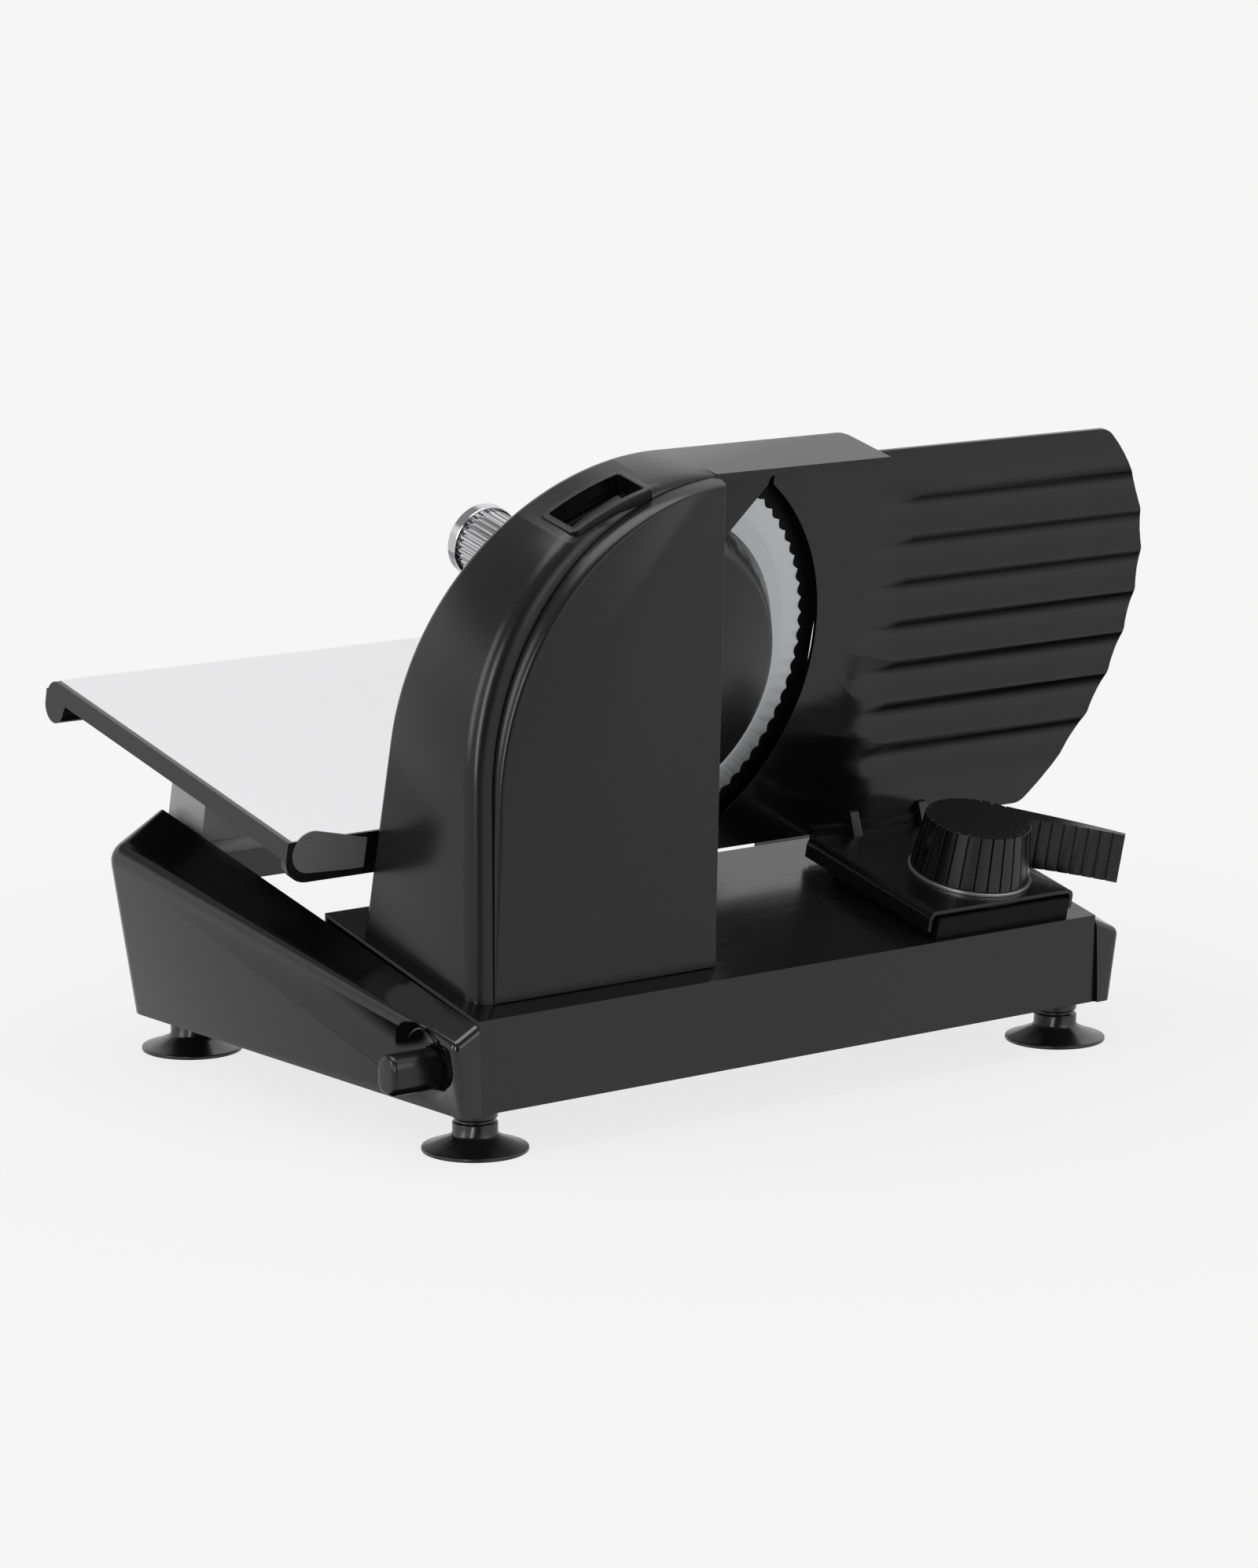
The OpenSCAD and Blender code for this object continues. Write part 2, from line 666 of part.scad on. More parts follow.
module motor_plate() {
  color("#8f9296") deck() difference() {
    union() {
      along_s(mplate_s, mplate_s + mplate_t) hull() {
        translate([idler_x, idler_h]) circle(r = 14);
        translate([motor_x, motor_h]) circle(r = motor_r + 2);
        for (p = post_places) translate(p) circle(r = 8);
      }
      for (p = post_places) bar_s(p[0], p[1], 4.5, mplate_s + 1, wall_s);
    }
    bar_s(idler_x, idler_h, idler_pin_r + fit, 0, wall_s);
    bar_s(motor_x, motor_h, 6, 0, wall_s);
  }
}
module motor_can() {
  color("#a6a9ad") deck() difference() {
    bar_s(motor_x, motor_h, motor_r, mplate_s - motor_len, mplate_s);
    bar_s(motor_x, motor_h, motor_r - 1.5, mplate_s - motor_len + 1.5, mplate_s - 1.5);
    bar_s(motor_x, motor_h, motor_shaft_r + fit, mplate_s - motor_len + 1, mplate_s + 1);
  }
}
module motor_rotor() {
  color("#9a5a2c") deck() difference() {
    bar_s(motor_x, motor_h, motor_r - 8, mplate_s - motor_len + 5, mplate_s - 5);
    bar_s(motor_x, motor_h, motor_shaft_r + fit, 0, mplate_s);
  }
}

module adjuster_rail() {
  x0 = cover_left + rail_in;
  x1 = cover_right - rail_in - 0.5;
  far = plate_s - travel - 4;
  color("#4a4a4a") deck() {
    difference() {
      along_s(cover_s - 2.5, far) hull() {
        translate([x0, 0.05]) square([x1 - x0, 1]);
        translate([x0 + 3, adj_rail_h - 3]) circle(r = 3, $fn = 32);
        translate([x1 - 3, adj_rail_h - 3]) circle(r = 3, $fn = 32);
      }
      box([x0 + 4, cover_s + 1, 2.5], [x1 - 4, far - 3, 20]);
    }
    translate([knob_x, knob_s - cam_near - travel, 2.4]) cylinder(r = cam_pin_r, h = 5.4);
  }
}
module cover_outline(in) {
  x0 = cover_left + in;
  x1 = cover_right - in;
  r = 4 - in;
  top = cover_h - in;
  translate([x0, in > 0 ? -1 : 3.2]) square([x1 - x0, top - r - (in > 0 ? -1 : 3.2)]);
  translate([x0 + r, top - r - 0.1]) square([x1 - x0 - 2 * r, r + 0.1]);
  for (x = [x0 + r, x1 - r]) translate([x, top - r]) circle(r = r);
}
plate_screw_x = [88, 145];
module sliding_cover() {
  color("#1f1f1f") deck() difference() {
    union() {
      along_s(cover_s, plate_s) cover_outline(0);
      box([cover_left + 1, plate_s - 2, cover_h - 1], [cover_right - 1, plate_s, cover_h + 4.5]);
      for (x = [98, 140]) along_x(x - 2.5, x + 2.5)
        polygon([[plate_s - 7.5, cover_h - 0.5], [plate_s, cover_h - 0.5], [plate_s, cover_h + 10],
          [plate_s - 1.4, cover_h + 10]]);
    }
    along_s(cover_s - 1, plate_s - 1.6) cover_outline(cover_t);
    for (x = plate_screw_x) bar_s(x, 8, 1.6, plate_s - 4, plate_s + 1);
    translate([knob_x, knob_s, 0]) cylinder(r = spindle_r + fit, h = 20);
  }
}
spindle_r = 6;
// A point on an arc whose centre lies at x from the plate's right edge and at height h
function plate_arc(x, h, r, a) = [plate_right + x + r * cos(a), h + r * sin(a)];
module plate_outline() {
  mid_h = 126;
  r_up = 99;
  r_low = 148;
  turn_up = 12;
  turn_low = 10;
  up = plate_top - turn_up - mid_h;
  down = mid_h - plate_low - turn_low;
  run_up = sqrt(pow(r_up - turn_up, 2) - up * up);
  run_low = sqrt(pow(r_low - turn_low, 2) - down * down);
  a_up = atan2(up, run_up);
  a_low = atan2(down, run_low);
  difference() {
    union() {
      polygon(concat([[-30, plate_low], [-30, plate_top]],
        [for (i = [0 : 5]) plate_arc(run_up - r_up, mid_h + up, turn_up, 90 - (90 - a_up) * i / 5)],
        [for (i = [1 : 12]) plate_arc(-r_up, mid_h, r_up, a_up * (1 - i / 12))],
        [for (i = [1 : 12]) plate_arc(-r_low, mid_h, r_low, -a_low * i / 12)],
        [for (i = [1 : 5]) plate_arc(run_low - r_low, mid_h - down, turn_low,
          -a_low - (90 - a_low) * i / 5)]));
      translate([cover_left + 5, 3.2]) square([cover_right - cover_left - 10, 30]);
    }
    translate([blade_x, blade_h]) circle(r = cut_r, $fn = 160);
    translate([-100, -100]) square([118.5, 400]);
  }
}
// Rounded bars along x, tapering out at their left, from which ribs and grooves are cut
module rib_bars(r, mid_s, deep) {
  for (i = [0 : rib_count - 1]) translate([108, mid_s, rib_low + rib_pitch * i]) rotate([0, 90, 0]) {
    cylinder(r = r, h = 170, $fn = 180);
    translate([0, 0, -30]) cylinder(r1 = r - deep - 0.1, r2 = r, h = 30.01, $fn = 180);
  }
}
module guide_plate() {
  rib_r = 31;
  groove_r = 34;
  color("#222222") deck() difference() {
    union() {
      along_s(plate_s, plate_s + plate_t) plate_outline();
      intersection() {
        along_s(plate_s, blade_s) plate_outline();
        rib_bars(rib_r, blade_s - rib_r, rib_up + 0.1);
      }
    }
    rib_bars(groove_r, plate_s - groove_r + 1.3, 1.3);
    for (x = plate_screw_x) {
      bar_s(x, 8, 2.1, plate_s - 1, blade_s + 1);
      translate([x, plate_s + plate_t + 0.01, 8]) rotate([90, 0, 0]) cylinder(r1 = 3.8, r2 = 2, h = 1.6);
    }
  }
}
module plate_screws() {
  color("#9a9a9a") deck() for (x = plate_screw_x) {
    bar_s(x, 8, 1.55, plate_s - 3.5, plate_s + plate_t - 0.3);
    translate([x, plate_s + plate_t - 0.1, 8]) rotate([90, 0, 0]) cylinder(r1 = 3.5, r2 = 1.6, h = 1.5);
  }
}
module scale_ring() {
  color("#c4c6c8") deck() translate([knob_x, knob_s, cover_h]) difference() {
    cylinder(r = knob_r + 1, h = ring_t);
    translate([0, 0, -1]) cylinder(r = spindle_r + 0.5, h = 5);
  }
}
// Half width and middle line of the lever, from the knob (0) to its tip (1)
function lever_mid(u) = (1 - u) * [19, 3] + u * (lever_len - 1.5) * [cos(lever_dip), -sin(lever_dip)]
  + 14 * u * (1 - u) * [0.25, 0.35];
function lever_half(u) = 7.5 - 6 * pow(u, 0.7);
lever_side = [0.71, 0.70];
module lever_plan() {
  n = 12;
  polygon(concat([for (i = [0 : n]) lever_mid(i / n) + lever_half(i / n) * lever_side],
    [for (i = [n : -1 : 0]) lever_mid(i / n) - lever_half(i / n) * lever_side]));
}
knob_low = 0.3;
module thickness_knob() {
  z0 = cover_h + ring_t + knob_low;
  color("#2a2a2a") deck() translate([knob_x, knob_s, 0]) difference() {
    union() {
      translate([0, 0, z0]) cylinder(r1 = knob_r, r2 = knob_top_r, h = knob_h - z0);
      translate([0, 0, z0 + 1.2]) linear_extrude(knob_h - z0 - 1.2) lever_plan();
      translate([0, 0, cam_h + cam_t]) cylinder(r = spindle_r, h = z0 - cam_h - cam_t + 1);
    }
    for (u = [0.3 : 0.1 : 0.9])
      translate(concat(lever_mid(u) - lever_half(u) * lever_side, [z0])) rotate(atan2(0.70, 0.71))
        translate([-2, -0.3, 0]) cube([2.6, 0.6, knob_h]);
    for (i = [0 : knob_grooves - 1]) {
      a = 20 + 360 * i / knob_grooves;
      if (a > 32 && a < 322 - 360 / knob_grooves)
        rotate(a) translate([(knob_r + knob_top_r) / 2, 0, z0 - 1])
          rotate([0, -atan((knob_r - knob_top_r) / (knob_h - z0)), 0])
            translate([-0.5, -0.35, 0]) cube([4, 0.7, knob_h]);
    }
    translate([0, 0, cam_h - 1]) cylinder(r = 2.05, h = 12);
  }
}
cam_h = 5;
cam_t = 3;
module spiral_cam() {
  far = cam_near + travel;
  pitch = travel / knob_turn;
  wall = 3.8;
  color("#d9d4c6") deck() translate([knob_x, knob_s, cam_h]) difference() {
    linear_extrude(cam_t) difference() {
      polygon(concat([for (a = [-12 : 8 : knob_turn + 12])
        (far - pitch * a + wall + cam_pin_r) * [cos(a - 90), sin(a - 90)]],
        [(far + wall) * [cos(-106), sin(-106)]]));
      for (a = [0 : 5 : knob_turn]) rotate(a - 90) translate([far - pitch * a, 0])
        circle(r = cam_pin_r + 0.3, $fn = 24);
    }
    translate([0, 0, -1]) cylinder(r = 2.05, h = 8);
  }
}
module knob_screw() {
  color("#8f8f8f") deck() translate([knob_x, knob_s, 0]) {
    translate([0, 0, cam_h - 1.9]) cylinder(r = 2.9, h = 1.8);
    translate([0, 0, cam_h - 0.5]) cylinder(r = 1.95, h = 10);
  }
}

module frame_profile() {
  translate([table_near, frame_low]) square([table_far - table_near - lip_r, flange_h]);
  translate([table_near, skirt_low]) square([4, table_h - skirt_low]);
  translate([table_far - lip_r, skirt_low + lip_r]) circle(r = lip_r);
  translate([table_far - 2 * lip_r, skirt_low + lip_r]) square([2 * lip_r, frame_low + 3 - skirt_low - lip_r]);
  translate([table_far - lip_r - 1, table_h - lip_r]) circle(r = lip_r);
  translate([table_far - lip_r - 1, frame_low]) square([lip_r + 1, flange_h - lip_r]);
}
module table_frame() {
  skirt_round = 12;
  color("#181818") deck() difference() {
    along_x(table_left, table_right) frame_profile();
    box([table_left + 2.5, table_near + 1, table_h - table_t], [table_right + 1, table_far - 6, table_h + 5]);
    box([table_left + 3, table_near + 4, 0], [table_right - 3, table_far - 2 * lip_r - 1, frame_roof]);
    along_s(table_near - 1, table_near + 4.1) difference() {
      translate([table_left - 1, skirt_low - 1]) square(skirt_round + 1);
      translate([table_left + skirt_round, skirt_low + skirt_round]) circle(r = skirt_round);
    }
    along_s(table_near - 1, table_near + 1) skirt_plan(-0.1);
  }
}
module skirt_plan(in) {
  hull() {
    translate([table_left + 13 + in, skirt_low + 14]) circle(r = 10 - in);
    translate([table_left + 4 + in, frame_low - 1]) square([6, table_h - 3 - frame_low - in]);
    translate([table_left + 34 - in, skirt_low + 3 + in]) square([8, table_h - 5.5 - skirt_low - 2 * in]);
  }
}
module skirt_plate() {
  color("#8d8f92") deck() along_s(table_near + 0.2, table_near + 1) skirt_plan(0.1);
}
module table_top() {
  color("#e6e6e6") deck()
    box([table_left + 2.6, table_near + 1.2, table_h - table_t], [table_right, table_far - 6.2, table_h]);
}
run_x = table_left + 41;
module runner_block() {
  color("#77797c") deck() difference() {
    box([run_x, rail_near - 8, rail_top - 8], [run_x + 54, rail_far + 9, frame_roof]);
    box([run_x - 4, rail_near - slack, rail_low], [run_x + 60, rail_far + slack, rail_top + slack]);
    box([run_x - 1, rail_near - 10, rail_low], [run_x + 55, rail_near - 6, rail_top]);
    box([run_x - 1, rail_far + 6, rail_low], [run_x + 55, rail_far + 10, rail_top]);
  }
}
glide_x = base_left + 71;
module glide_foot() {
  color("#b9b6aa") deck() {
    box([glide_x - 12, table_near + 5.5, slack], [glide_x + 12, table_near + 12.5, 6]);
    box([glide_x - 10, table_near + 7, 5], [glide_x + 10, table_near + 11, frame_roof]);
  }
}
module fence() {
  end = table_far - 14;
  low = table_h + 0.1;
  color("#1c1c1c") deck() {
    along_x(table_right - fence_t, table_right) polygon([[table_near, low], [end, low],
      [end, table_h + 33], [end - 24, fence_h], [table_near + 26, fence_h],
      [table_near + 8, guard_top - 12], [table_near, guard_top - 6]]);
    along_s(table_near, table_near + fence_t) polygon([[guard_left, low], [table_right, low],
      [table_right, guard_top - 6], [table_right - 6, guard_top], [guard_left + 1, guard_top],
      [guard_left, guard_top - 1]]);
  }
}
module rod_brackets() {
  color("#2b2b2b") deck() for (s = [rod_near, rod_far]) difference() {
    union() {
      bar_s(rod_x, rod_h, rod_r + 3, s, s + 6);
      box([rod_x, s, rod_h - 6], [table_right - fence_t - 0.1, s + 6, rod_h + 6]);
    }
    bar_s(rod_x, rod_h, rod_r, s + (s == rod_near ? 1 : -1), s + (s == rod_near ? 7 : 5));
  }
}
module pusher_rod() {
  color("#c8cacc") deck() bar_s(rod_x, rod_h, rod_r, rod_near + 1, rod_far + 5);
}
module pusher_slider() {
  s0 = push_s + push_t;
  color("#202020") deck() difference() {
    union() {
      box([push_right - 24, s0, rod_h - 10], [push_right, s0 + 12, rod_h + 10]);
      box([push_right - 24, s0 + 8, rod_h - 10], [rod_x + 8, s0 + 14, rod_h + 10]);
      box([rod_x - 9, s0 + 8, rod_h - 10], [rod_x + 8, s0 + 36, rod_h + 10]);
    }
    bar_s(rod_x, rod_h, rod_r + fit, rod_near, rod_far);
  }
}
module pusher_plate() {
  color("#1e1e1e") deck() along_s(push_s, push_s + push_t) hull() {
    for (x = [push_left + 5, push_right - 5]) translate([x, table_h + 7]) circle(r = 5, $fn = 32);
    for (x = [push_x + 2, push_right - 9]) translate([x, push_top - 8]) circle(r = 8, $fn = 48);
    translate([push_left + 4, push_h - 10.5]) circle(r = 4, $fn = 32);
  }
}
spike_places = [for (x = [30, 75, 120], h = [16, 34]) [push_left + x, table_h + h]];
module pusher_spikes() {
  color("#b4b6b8") deck() for (p = spike_places)
    translate([p[0], push_s, p[1]]) rotate([90, 0, 0]) cylinder(r1 = 1.8, r2 = 0.4, h = 3.2);
}
module pusher_knob() {
  ridges = 32;
  color("#b9bbbd") deck() difference() {
    bar_s(push_x, push_h, push_r, push_s + push_t, grip_s);
    for (i = [0 : ridges - 1]) {
      a = 360 * i / ridges;
      bar_s(push_x + (push_r + 0.3) * cos(a), push_h + (push_r + 0.3) * sin(a), 1,
        push_s + push_t + 1.5, grip_s + 1);
    }
  }
}
module knob_collar() {
  color("#a7a9ab") deck() bar_s(push_x, push_h, push_r + 1.4, grip_s, grip_s + 6);
}

base_channel();
bottom_plate();
left_end_cap();
right_end_cap();
carriage_rail();
foot_cups();
foot_studs();
base_screws();
cord_gland();
micro_switch();
safety_button();
housing_shell();
front_cover();
switch_bezel();
switch_body();
rocker();
motor_plate();
motor_can();
motor_rotor();
motor_shaft();
idler_pin();
idler_gear();
shaft_bushes();
blade_shaft();
drive_wheel();
blade();
blade_lock_cap();
adjuster_rail();
sliding_cover();
guide_plate();
plate_screws();
scale_ring();
thickness_knob();
spiral_cam();
knob_screw();
table_top();
table_frame();
skirt_plate();
runner_block();
glide_foot();
fence();
rod_brackets();
pusher_rod();
pusher_slider();
pusher_plate();
pusher_spikes();
pusher_knob();
knob_collar();
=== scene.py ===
# %% [markdown]
# # An electric slicer, dressed for its portrait
# The imported model gives every solid in metres, in one frame, and its pieces already ride on the
# bodies they move with. This lesson keeps all of those places and adds what the solids lack:
# soft edges, smooth curved faces, brushed, lacquered and moulded finishes, light and a camera.
#
# The first cell loads the model.

# %% Load the imported model
import json
from math import atan2, copysign, cos, pi, radians, sin

import bmesh
import bpy
from mathutils import Matrix, Vector


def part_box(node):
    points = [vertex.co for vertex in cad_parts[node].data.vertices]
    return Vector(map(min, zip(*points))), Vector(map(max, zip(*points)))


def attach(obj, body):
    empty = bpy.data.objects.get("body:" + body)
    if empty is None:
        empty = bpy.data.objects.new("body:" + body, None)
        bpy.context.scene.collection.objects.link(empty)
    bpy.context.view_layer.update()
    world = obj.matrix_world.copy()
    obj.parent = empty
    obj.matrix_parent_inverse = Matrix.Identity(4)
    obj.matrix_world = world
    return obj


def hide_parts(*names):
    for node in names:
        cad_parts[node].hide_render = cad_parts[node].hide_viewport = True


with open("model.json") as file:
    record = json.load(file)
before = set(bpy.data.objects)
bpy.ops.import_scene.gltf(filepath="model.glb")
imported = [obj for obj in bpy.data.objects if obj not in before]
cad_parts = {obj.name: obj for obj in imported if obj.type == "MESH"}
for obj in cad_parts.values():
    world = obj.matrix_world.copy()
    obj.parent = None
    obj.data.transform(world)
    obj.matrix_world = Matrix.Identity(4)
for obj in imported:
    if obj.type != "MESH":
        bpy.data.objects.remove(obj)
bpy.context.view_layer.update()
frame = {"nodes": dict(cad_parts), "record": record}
nodes = frame["nodes"]
record = frame["record"]
behaviour = record["behaviour"]
body_of_node = {n: body for body, members in behaviour["bodies"].items() for n in members}
joint_of = {j["name"]: j for j in behaviour["joints"]}
MM = 0.001

# %% [markdown]
# ## The camera
# The photograph was taken from the front left and a little above, with a long lens, so upright
# edges stay nearly parallel. A camera can be placed by eye, or by fitting it to known points. This
# one was fitted to the four feet and the straight edges of the base, so the model lands on the
# photograph. The frame is taller than wide, so the sensor's 36 mm lies along its height.

# %% Place the camera
FRAME_HEIGHT_PX = 1994
FOCAL_PX = 6600
SENSOR_MM = 36
VIEW_DISTANCE = 2.5331
AIM_ACROSS, AIM_DEEP, AIM_HIGH = 0.0749, 0.09613, 0.1
FAR_CLIP = 50
look_az, look_el, look_roll = radians(-37.2), radians(11.0), radians(0.07)
back = Vector((sin(look_az) * cos(look_el), -cos(look_az) * cos(look_el), sin(look_el)))
right = Vector((0, 0, 1)).cross(back).normalized()
up = back.cross(right)
cam_x = right * cos(look_roll) + up * sin(look_roll)
cam_y = up * cos(look_roll) - right * sin(look_roll)
feet_mid = (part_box("foot_cups")[0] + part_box("foot_cups")[1]) / 2
target = Vector((feet_mid.x + AIM_ACROSS, feet_mid.y + AIM_DEEP, AIM_HIGH))
eye = target + back * VIEW_DISTANCE
cam_data = bpy.data.cameras.new("camera")
cam_data.sensor_width = SENSOR_MM
cam_data.lens = FOCAL_PX / FRAME_HEIGHT_PX * SENSOR_MM
cam_data.clip_end = FAR_CLIP
camera = bpy.data.objects.new("camera", cam_data)
bpy.context.scene.collection.objects.link(camera)
camera.matrix_world = Matrix.Translation(eye) @ Matrix((cam_x, cam_y, back)).transposed().to_4x4()
bpy.context.scene.camera = camera
print("camera at", [round(v, 3) for v in eye], "lens", round(cam_data.lens, 1))

# %% [markdown]
# ## A small kit for finishes
# A real finish is never one flat value. Its gloss changes over a few hundredths of a millimetre
# with the grain, and over a few centimetres where hands and cloths have been. Image textures could
# carry that, but noise on Object coordinates stays sharp at any distance and stays put on the
# piece in every view. Brushed metal is the same noise stretched hard along one axis.
#
# The noise hovers round one half, so the second helper spreads its middle over a wanted range.

# %% A noise that follows the piece
NOISE_LOW, NOISE_HIGH = 0.3, 0.7

def even(count):
    return (count, count, count)

def noise(tree, place, grain, detail=3.0):
    stretch = tree.nodes.new("ShaderNodeMapping")
    stretch.inputs["Scale"].default_value = grain
    tree.links.new(place, stretch.inputs["Vector"])
    texture = tree.nodes.new("ShaderNodeTexNoise")
    texture.inputs["Scale"].default_value = 1.0
    texture.inputs["Detail"].default_value = detail
    tree.links.new(stretch.outputs["Vector"], texture.inputs["Vector"])
    return texture.outputs["Fac"]

def spread(tree, factor, low, high):
    level = tree.nodes.new("ShaderNodeMapRange")
    level.inputs["From Min"].default_value = NOISE_LOW
    level.inputs["From Max"].default_value = NOISE_HIGH
    level.inputs["To Min"].default_value = low
    level.inputs["To Max"].default_value = high
    tree.links.new(factor, level.inputs["Value"])
    return level.outputs["Result"]

print("noise between", NOISE_LOW, "and", NOISE_HIGH, "is used")

# %% [markdown]
# ## One finish
# Three things vary over a finish. Its colour drifts a little with a broad noise, as wiping and
# light leave it. Its gloss follows both the broad noise and the fine grain. A bump a fraction of a
# millimetre high lifts the grain. Values that are the same all over, such as how metallic it is,
# go straight on the shader's sockets.

# %% Colour, gloss and grain of one finish
HANDLED_GRAIN, HANDLED_DETAIL = even(14), 4.0
HANDLED_GLOSS = 0.03
GRAIN_HEIGHT = 0.4 * MM

def dress(mat, grain_noise, color, rough, rough_vary, bump, color_vary):
    tree = mat.node_tree
    shader = tree.nodes["Principled BSDF"]
    place = tree.nodes.new("ShaderNodeTexCoord").outputs["Object"]
    broad = noise(tree, place, HANDLED_GRAIN, HANDLED_DETAIL)
    tint = tree.nodes.new("ShaderNodeMix")
    tint.data_type = "RGBA"
    tint.inputs["A"].default_value = (*[c * (1 - color_vary) for c in color], 1)
    tint.inputs["B"].default_value = (*[min(1, c * (1 + color_vary)) for c in color], 1)
    tree.links.new(broad, tint.inputs["Factor"])
    tree.links.new(tint.outputs["Result"], shader.inputs["Base Color"])
    gloss = spread(tree, grain_noise, rough - rough_vary, rough + rough_vary)
    total = tree.nodes.new("ShaderNodeMath")
    total.operation = "ADD"
    total.use_clamp = True
    tree.links.new(gloss, total.inputs[0])
    tree.links.new(spread(tree, broad, -HANDLED_GLOSS, HANDLED_GLOSS), total.inputs[1])
    tree.links.new(total.outputs["Value"], shader.inputs["Roughness"])
    height = tree.nodes.new("ShaderNodeBump")
    height.inputs["Strength"].default_value = bump
    height.inputs["Distance"].default_value = GRAIN_HEIGHT
    tree.links.new(grain_noise, height.inputs["Height"])
    tree.links.new(height.outputs["Normal"], shader.inputs["Normal"])

def finish(name, color, rough, metallic=0.0, grain=even(400), rough_vary=0.06, bump=0.02,
           color_vary=0.12, specular=0.5):
    mat = bpy.data.materials.new(name)
    mat.use_nodes = True
    shader = mat.node_tree.nodes["Principled BSDF"]
    shader.inputs["Metallic"].default_value = metallic
    shader.inputs["Specular IOR Level"].default_value = specular
    place = mat.node_tree.nodes.new("ShaderNodeTexCoord").outputs["Object"]
    dress(mat, noise(mat.node_tree, place, grain), color, rough, rough_vary, bump, color_vary)
    return mat

print("grain height mm", round(GRAIN_HEIGHT / MM, 2))

# %% [markdown]
# ## Black sheet, lacquer and polish
# Nearly everything is black, and a black thing is seen by what it mirrors: the pale room on the
# hood, the dark guide plate on the deck. So the colours are very deep, and the finishes differ
# mostly in how sharp that mirror is. The housing has a satin lacquer, the base sheet a fine
# brushing along its length, the ribbed plate a smoother one, and the end caps a polish.

# %% Black finishes of the housing, the base and the plate
BRUSHED = (14, 1500, 1500)
housing_lacquer = finish("housing_lacquer", (0.0060, 0.0060, 0.0062), 0.25, grain=even(900),
                         rough_vary=0.02, bump=0.006, color_vary=0.06, specular=0.40)
brushed_black = finish("brushed_black", (0.0045, 0.0045, 0.0047), 0.22, grain=BRUSHED,
                       rough_vary=0.06, bump=0.07, color_vary=0.1)
plate_black = finish("plate_black", (0.0035, 0.0035, 0.0037), 0.13, grain=BRUSHED,
                     rough_vary=0.02, bump=0.02, color_vary=0.08, specular=0.42)
polished_cap = finish("polished_cap", (0.0035, 0.0035, 0.0036), 0.10, grain=even(300),
                      rough_vary=0.02, bump=0.01, color_vary=0.05, specular=0.6)
print("sheet and cap finishes", len(bpy.data.materials))

# %% [markdown]
# ## Mouldings and rubber
# Knobs and covers are moulded with a fine grain, which breaks up the mirror. The guard, the plate
# of the pusher and the rail under the cover are duller still, so they stay dark. The feet are
# smooth rubber. Gears and glides are bare nylon, and the hidden micro switch is a red moulding.

# %% Black and grey mouldings, nylon and rubber
matt_moulding = finish("matt_moulding", (0.0035, 0.0035, 0.0036), 0.28, grain=even(1500),
                       rough_vary=0.06, bump=0.06, color_vary=0.1)
deep_moulding = finish("deep_moulding", (0.0030, 0.0030, 0.0031), 0.28, grain=even(1200),
                       rough_vary=0.05, bump=0.04, color_vary=0.1)
shaded_moulding = finish("shaded_moulding", (0.0030, 0.0030, 0.0031), 0.42, grain=even(1500),
                         rough_vary=0.05, bump=0.06, color_vary=0.1, specular=0.12)
grey_moulding = finish("grey_moulding", (0.030, 0.030, 0.031), 0.36, grain=even(1200),
                       rough_vary=0.05, bump=0.05, color_vary=0.08)
foot_rubber = finish("foot_rubber", (0.0060, 0.0060, 0.0061), 0.24, grain=even(300),
                     rough_vary=0.03, bump=0.01, color_vary=0.1, specular=0.6)
natural_nylon = finish("natural_nylon", (0.66, 0.63, 0.55), 0.45, grain=even(700),
                       rough_vary=0.08, bump=0.04, color_vary=0.05)
red_moulding = finish("red_moulding", (0.32, 0.035, 0.025), 0.38, grain=even(900),
                      rough_vary=0.05, bump=0.04, color_vary=0.08)
print("with mouldings", len(bpy.data.materials))

# %% [markdown]
# ## Metals
# The table is brushed steel, the knob of the pusher is chromed, and screws and pins are plated.
# The block that runs on the rail is cast and stays pale grey, and the plate beside it is a darker
# satin paint. Bushes are turned brass. The motor's winding is lacquered copper wire, drawn by a
# grain that is stretched along the wires.

# %% Bare, plated and painted metals
WOUND = (2500, 40, 2500)
PAINTED = (12, 1200, 1200)
table_steel = finish("table_steel", (0.74, 0.74, 0.75), 0.34, metallic=1.0, grain=BRUSHED,
                     rough_vary=0.08, bump=0.05, color_vary=0.03)
chrome = finish("chrome", (0.60, 0.60, 0.61), 0.07, metallic=1.0, grain=even(500),
                rough_vary=0.02, bump=0.008, color_vary=0.03)
plated_steel = finish("plated_steel", (0.52, 0.52, 0.53), 0.35, metallic=1.0, grain=even(500),
                      rough_vary=0.1, bump=0.03, color_vary=0.08)
silver_satin = finish("silver_satin", (0.50, 0.50, 0.51), 0.33, metallic=0.8, grain=even(900),
                      rough_vary=0.05, bump=0.02, color_vary=0.04)
cast_grey = finish("cast_grey", (0.34, 0.34, 0.345), 0.32, metallic=0.3, grain=even(900),
                   rough_vary=0.05, bump=0.04, color_vary=0.05)
grey_satin = finish("grey_satin", (0.14, 0.14, 0.143), 0.30, metallic=0.2, grain=PAINTED,
                    rough_vary=0.06, bump=0.05, color_vary=0.06)
turned_brass = finish("turned_brass", (0.70, 0.50, 0.22), 0.3, metallic=1.0, grain=even(600),
                      rough_vary=0.08, bump=0.03, color_vary=0.05)
lacquered_copper = finish("lacquered_copper", (0.46, 0.20, 0.09), 0.35, metallic=0.6,
                          grain=WOUND, rough_vary=0.1, bump=0.3, color_vary=0.15)
print("with metals", len(bpy.data.materials))

# %% [markdown]
# ## Ground steel
# The blade is ground while it turns, so its marks are circles about its axis. A noise of one
# dimension, fed with the distance from the middle of the blade, draws them without any texture
# map. The middle comes from the joint that the blade turns on.

